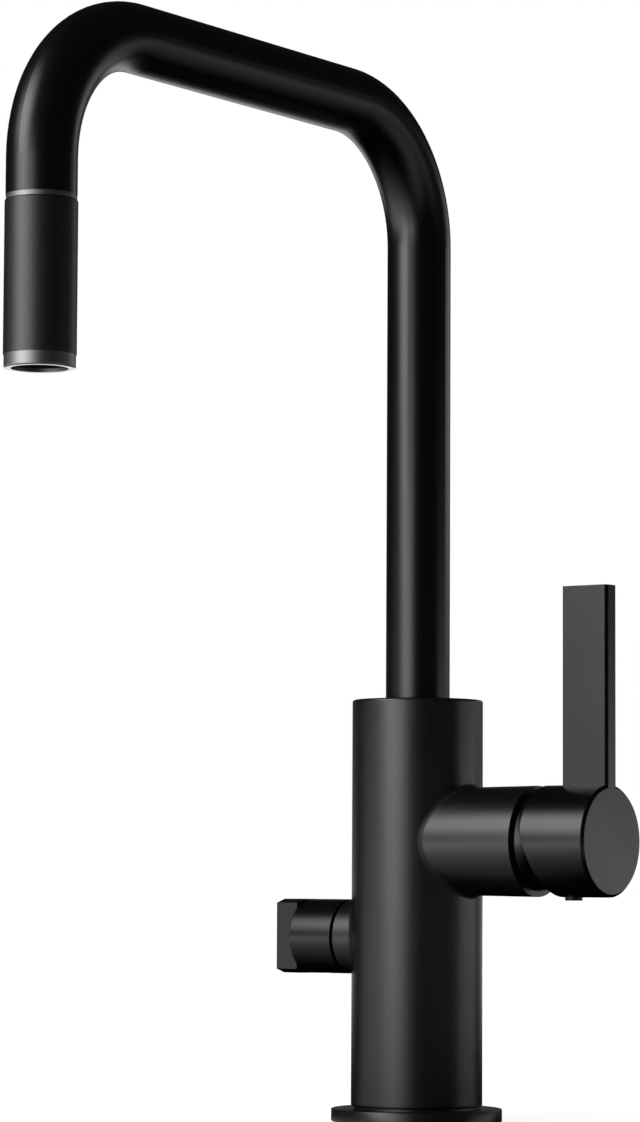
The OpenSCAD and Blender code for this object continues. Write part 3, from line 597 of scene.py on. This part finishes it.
def shank_thread():
    """The brass shank with its helical thread, for the CAD's plain one."""
    sizes = bpy.context.scene.tap_sizes
    sides = 72
    pitch = sizes.thread_pitch
    depth = 0.61 * pitch
    crest_r = sizes.shank_radius
    root_r = crest_r - depth
    shoulder_r = SHANK_HIGH.x
    seat_r = shoulder_r - 0.2 * MM
    shoulder_top = 0.5 * MM
    shoulder_foot = -6 * MM
    groove_foot = shoulder_foot - 2 * MM
    bore_r = sizes.shank_bore

    def thread(turn, z):
        """The thread's radius, which fades to its root at both ends."""
        fade = min(1.0, (groove_foot - z) / pitch, (z - SHANK_LOW.z) / MM)
        return root_r + depth * fade * thread_wave(z / pitch - turn)

    profile = ((bore_r, SHANK_HIGH.z), (crest_r, SHANK_HIGH.z), (crest_r, shoulder_top),
               (seat_r, shoulder_top), (seat_r, 0), (shoulder_r, 0), (shoulder_r, shoulder_foot),
               (root_r, shoulder_foot), (root_r, groove_foot))
    rings = [round_ring(0, 0, z, r, sides) for r, z in profile]
    length = groove_foot - SHANK_LOW.z
    rings_per_turn = 8
    steps = round(length / (pitch / rings_per_turn))
    for i in range(1, steps):
        z = groove_foot - length * i / steps
        rings.append(round_ring(0, 0, z, lambda turn, z=z: thread(turn, z), sides))
    rings.append(round_ring(0, 0, SHANK_LOW.z, root_r, sides))
    rings.append(round_ring(0, 0, SHANK_LOW.z, bore_r, sides))
    points, faces = looped(rings)
    material = bpy.data.materials["bare_brass"]
    piece = add_piece("shank_thread", points, faces, "base", material)
    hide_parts("threaded_shank")


def pull_hose():
    """The braided tail of the pull-out hose."""
    sizes = bpy.context.scene.tap_sizes
    sides = 48
    strands = 8
    radius = sizes.hose_radius
    relief = sizes.braid_relief
    bore = 0.72 * radius
    top = TAIL_HIGH.z
    foot = TAIL_LOW.z
    travel = sizes.hose_travel
    lay = 9 * MM
    steps = sizes.hose_rings

    def braid(turn, pulled):
        """The hose's radius, with two sets of strands that cross."""
        one = math.sin(TURN * (strands * turn + pulled / lay) / 2)
        other = math.sin(TURN * (strands * turn - pulled / lay) / 2)
        return radius - relief * (1 - abs(one * other))

    rings = [round_ring(OUTLET.x, OUTLET.y, top, bore, sides)]
    for i in range(steps + 1):
        pulled = (travel + top - foot) * i / steps
        z = top - (top - foot) * i / steps
        ring = round_ring(OUTLET.x, OUTLET.y, z, lambda turn, pulled=pulled: braid(turn, pulled), sides)
        rings.append(ring)
    rings.append(round_ring(OUTLET.x, OUTLET.y, foot, bore, sides))
    points, faces = looped(rings)
    material = bpy.data.materials["hose_braid"]
    piece = add_piece("pull_hose", points, faces, None, material)
    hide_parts("hose_tail")
    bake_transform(piece)


def seam_fillet(name, side, axis_z, root_r, end_r, length):
    """A fine rounded seam where a branch leaves the column. side is 1 towards +X and -1 towards -X."""
    sizes = bpy.context.scene.tap_sizes
    width = sizes.fillet_width
    steps = 96
    arc = 6

    def branch(turn, out):
        """A point of the branch at its distance out from the column's axis."""
        radius = root_r + (end_r - root_r) * out / length
        angle = TURN * turn
        return Vector((side * out, radius * math.cos(angle), axis_z + radius * math.sin(angle)))

    rings = []
    for i in range(steps):
        turn = i / steps
        # Settles on the place where the tapered branch meets the column
        out = COLUMN_R
        for _ in range(6):
            out = math.sqrt(max(COLUMN_R ** 2 - branch(turn, out).y ** 2, 0.0))
        seam = branch(turn, out)
        on_branch = branch(turn, out + width)
        outward = Vector((0.0, math.cos(TURN * turn), math.sin(TURN * turn)))
        wall = Vector((seam.x, seam.y, 0.0)).normalized()
        along_wall = (outward - wall * outward.dot(wall)).normalized()
        on_wall = seam + along_wall * width
        flat = Vector((on_wall.x, on_wall.y, 0.0))
        on_wall = Vector((*(flat.normalized() * COLUMN_R).xy, on_wall.z))
        ring = []
        for k in range(arc + 1):
            t = k / arc
            ring.append(on_wall * (1 - t) ** 2 + seam * 2 * t * (1 - t) + on_branch * t ** 2)
        inside = 0.4 * width
        ring.append(on_branch - outward * inside)
        ring.append(seam - outward * inside - wall * inside)
        ring.append(on_wall - wall * inside)
        rings.append(ring)
    points, faces = looped(rings)
    material = bpy.data.materials["black_coat"]
    add_piece(name, points, faces, "base", material)


class TapLook(bpy.types.PropertyGroup):
    """Colours and finish of the tap's own surfaces."""

    coat_colour: bpy.props.FloatVectorProperty(
        name="Coat colour", description="Colour of the satin black coat", subtype="COLOR",
        default=(0.0022, 0.0022, 0.0024), min=0.0, max=1.0, size=3)
    dull_gain: bpy.props.FloatProperty(
        name="Dull gain", description="How much paler the coat is on the column and the head",
        default=2.8, min=1.0)
    coat_roughness: bpy.props.FloatProperty(
        name="Coat roughness", description="How matt the black coat is", default=0.27, min=0.1, max=0.8)
    steel_colour: bpy.props.FloatVectorProperty(
        name="Steel colour", description="Colour of the stainless rings", subtype="COLOR",
        default=(0.66, 0.655, 0.645), min=0.0, max=1.0, size=3)


class TapSizes(bpy.types.PropertyGroup):
    """Sizes of the fine pieces."""

    thread_pitch: bpy.props.FloatProperty(
        name="Thread pitch", description="Pitch of the shank's thread",
        default=1.5 * MM, min=1.0 * MM, unit="LENGTH")
    shank_radius: bpy.props.FloatProperty(
        name="Shank radius", description="Outer radius of the shank's thread",
        default=16.5 * MM, unit="LENGTH")
    shank_bore: bpy.props.FloatProperty(
        name="Shank bore", description="Radius of the way through the shank",
        default=14.6 * MM, unit="LENGTH")
    fillet_width: bpy.props.FloatProperty(
        name="Seam width", description="Width of the rounded seam at the arm and the valve",
        default=1.4 * MM, min=0.2 * MM, unit="LENGTH")
    flange_edge: bpy.props.FloatProperty(
        name="Flange edge", description="Width of the fine chamfer on the base disc",
        default=0.3 * MM, min=0.1 * MM, unit="LENGTH")
    flange_sides: bpy.props.IntProperty(
        name="Flange sides", description="How finely the base disc is divided", default=192, min=24)
    hose_radius: bpy.props.FloatProperty(
        name="Hose radius", description="Outer radius of the pull-out hose",
        default=5.95 * MM, unit="LENGTH")
    hose_travel: bpy.props.FloatProperty(
        name="Hose travel", description="How far the head pulls out", default=0.25, unit="LENGTH")
    hose_rings: bpy.props.IntProperty(
        name="Hose rings", description="How finely the pulled hose is divided", default=180, min=8)
    braid_relief: bpy.props.FloatProperty(
        name="Braid relief", description="Depth between the strands of the braid",
        default=0.35 * MM, unit="LENGTH")


class TapStage(bpy.types.PropertyGroup):
    """Light and floor of the stage."""

    high_light: bpy.props.FloatProperty(
        name="High light", description="Radiance of the high softbox on the left", default=3.4, min=0.0)
    front_light: bpy.props.FloatProperty(
        name="Front light", description="Radiance of the front softbox", default=1.7, min=0.0)
    rear_light: bpy.props.FloatProperty(
        name="Rear light", description="Radiance of the rear softbox", default=0.7, min=0.0)
    strip_light: bpy.props.FloatProperty(
        name="Strip light", description="Radiance of the low strips behind the lever",
        default=2.2, min=0.0)
    room_light: bpy.props.FloatProperty(
        name="Room light", description="Level of the even light from all round", default=0.15, min=0.0)
    back_glow: bpy.props.FloatProperty(
        name="Back glow", description="Level of the background in the tap's own reflections",
        default=0.12, min=0.0)
    front_floor: bpy.props.FloatProperty(
        name="Front floor", description="Level of the floor's front part in reflections",
        default=1.25, min=0.0)
    rear_floor: bpy.props.FloatProperty(
        name="Rear floor", description="Level of the floor's rear part in reflections",
        default=0.25, min=0.0)
    side_floor: bpy.props.FloatProperty(
        name="Side floor", description="Level of the floor beside the tap in reflections",
        default=0.28, min=0.0)
    floor_glow: bpy.props.FloatProperty(
        name="Floor glow", description="Glow that keeps the floor white", default=0.86, min=0.0)
    floor_radius: bpy.props.FloatProperty(
        name="Floor radius", description="How far the floor reaches",
        default=12.0, min=1.0, unit="LENGTH")
    hole_radius: bpy.props.FloatProperty(
        name="Hole radius", description="Radius of the hole for the shank",
        default=17.5 * MM, unit="LENGTH")


class TAP_OT_stage(bpy.types.Operator):
    """Adds the camera, the lamps, the worktop and the background"""

    bl_idname = "tap.stage"
    bl_label = "Stage"

    def execute(self, context):
        stage = context.scene.tap_stage
        studio_camera()
        softbox("high_softbox", azimuth=-29, elevation=30.5, distance=1.3, width=1.15, height=1.45,
                radiance=stage.high_light, roll=30)
        softbox("front_softbox", azimuth=-6, elevation=4, distance=1.3, width=1.4, height=1.1,
                radiance=stage.front_light)
        softbox("rear_softbox", azimuth=170, elevation=10, distance=2.0, width=1.5, height=0.8,
                radiance=stage.rear_light)
        for azimuth in REAR_STRIPS:
            softbox(f"rear_strip_{azimuth}", azimuth, elevation=0, distance=2.0, width=0.45, height=0.35,
                    radiance=stage.strip_light, aim=COLUMN_MIDDLE, spread=GRID_SPREAD)
        worktop()
        backdrop()
        context.scene.view_settings.view_transform = "Standard"
        return {"FINISHED"}


class TAP_OT_finishes(bpy.types.Operator):
    """Gives every piece of the frame its finish"""

    bl_idname = "tap.finishes"
    bl_label = "Finishes"

    def execute(self, context):
        dress_nodes()
        return {"FINISHED"}


class TAP_OT_seams(bpy.types.Operator):
    """Adds the rounded seams where the arm and the valve leave the column"""

    bl_idname = "tap.seams"
    bl_label = "Seams"

    def execute(self, context):
        seam_fillet("arm_seam", 1, ARM_Z, ARM_ROOT_R, ARM_END_R, ARM_LENGTH)
        seam_fillet("valve_seam", -1, VALVE_Z, VALVE_R, VALVE_R, VALVE_LENGTH)
        return {"FINISHED"}


class TAP_OT_flange(bpy.types.Operator):
    """Adds the base disc with its crisp edge"""

    bl_idname = "tap.flange"
    bl_label = "Base disc"

    def execute(self, context):
        flange_disc()
        return {"FINISHED"}


class TAP_OT_shank(bpy.types.Operator):
    """Adds the shank with its helical thread"""

    bl_idname = "tap.shank"
    bl_label = "Shank thread"

    def execute(self, context):
        shank_thread()
        return {"FINISHED"}


class TAP_OT_hose(bpy.types.Operator):
    """Adds the braided pull-out hose"""

    bl_idname = "tap.hose"
    bl_label = "Pull-out hose"

    def execute(self, context):
        pull_hose()
        return {"FINISHED"}


class TAP_PT_panel(bpy.types.Panel):
    """Lists the tap's operators and looks"""

    bl_label = "Tap"
    bl_idname = "TAP_PT_panel"
    bl_space_type = "VIEW_3D"
    bl_region_type = "UI"
    bl_category = "Tap"

    def draw(self, context):
        layout = self.layout
        for group in (context.scene.tap_look, context.scene.tap_sizes, context.scene.tap_stage):
            for name in group.__annotations__:
                layout.prop(group, name)
        for operator in OPERATORS:
            layout.operator(operator.bl_idname)


OPERATORS = (TAP_OT_stage, TAP_OT_finishes, TAP_OT_flange, TAP_OT_seams, TAP_OT_shank, TAP_OT_hose)
CLASSES = (TapLook, TapSizes, TapStage, *OPERATORS, TAP_PT_panel)


def register():
    for cls in CLASSES:
        bpy.utils.register_class(cls)
    bpy.types.Scene.tap_look = bpy.props.PointerProperty(type=TapLook)
    bpy.types.Scene.tap_sizes = bpy.props.PointerProperty(type=TapSizes)
    bpy.types.Scene.tap_stage = bpy.props.PointerProperty(type=TapStage)


def unregister():
    del bpy.types.Scene.tap_stage
    del bpy.types.Scene.tap_sizes
    del bpy.types.Scene.tap_look
    for cls in reversed(CLASSES):
        bpy.utils.unregister_class(cls)


def main():
    """Dresses the whole tap."""
    register()
    bpy.ops.tap.stage()
    bpy.ops.tap.finishes()
    bpy.ops.tap.flange()
    bpy.ops.tap.seams()
    bpy.ops.tap.shank()
    bpy.ops.tap.hose()


if __name__ == "__main__":
    main()
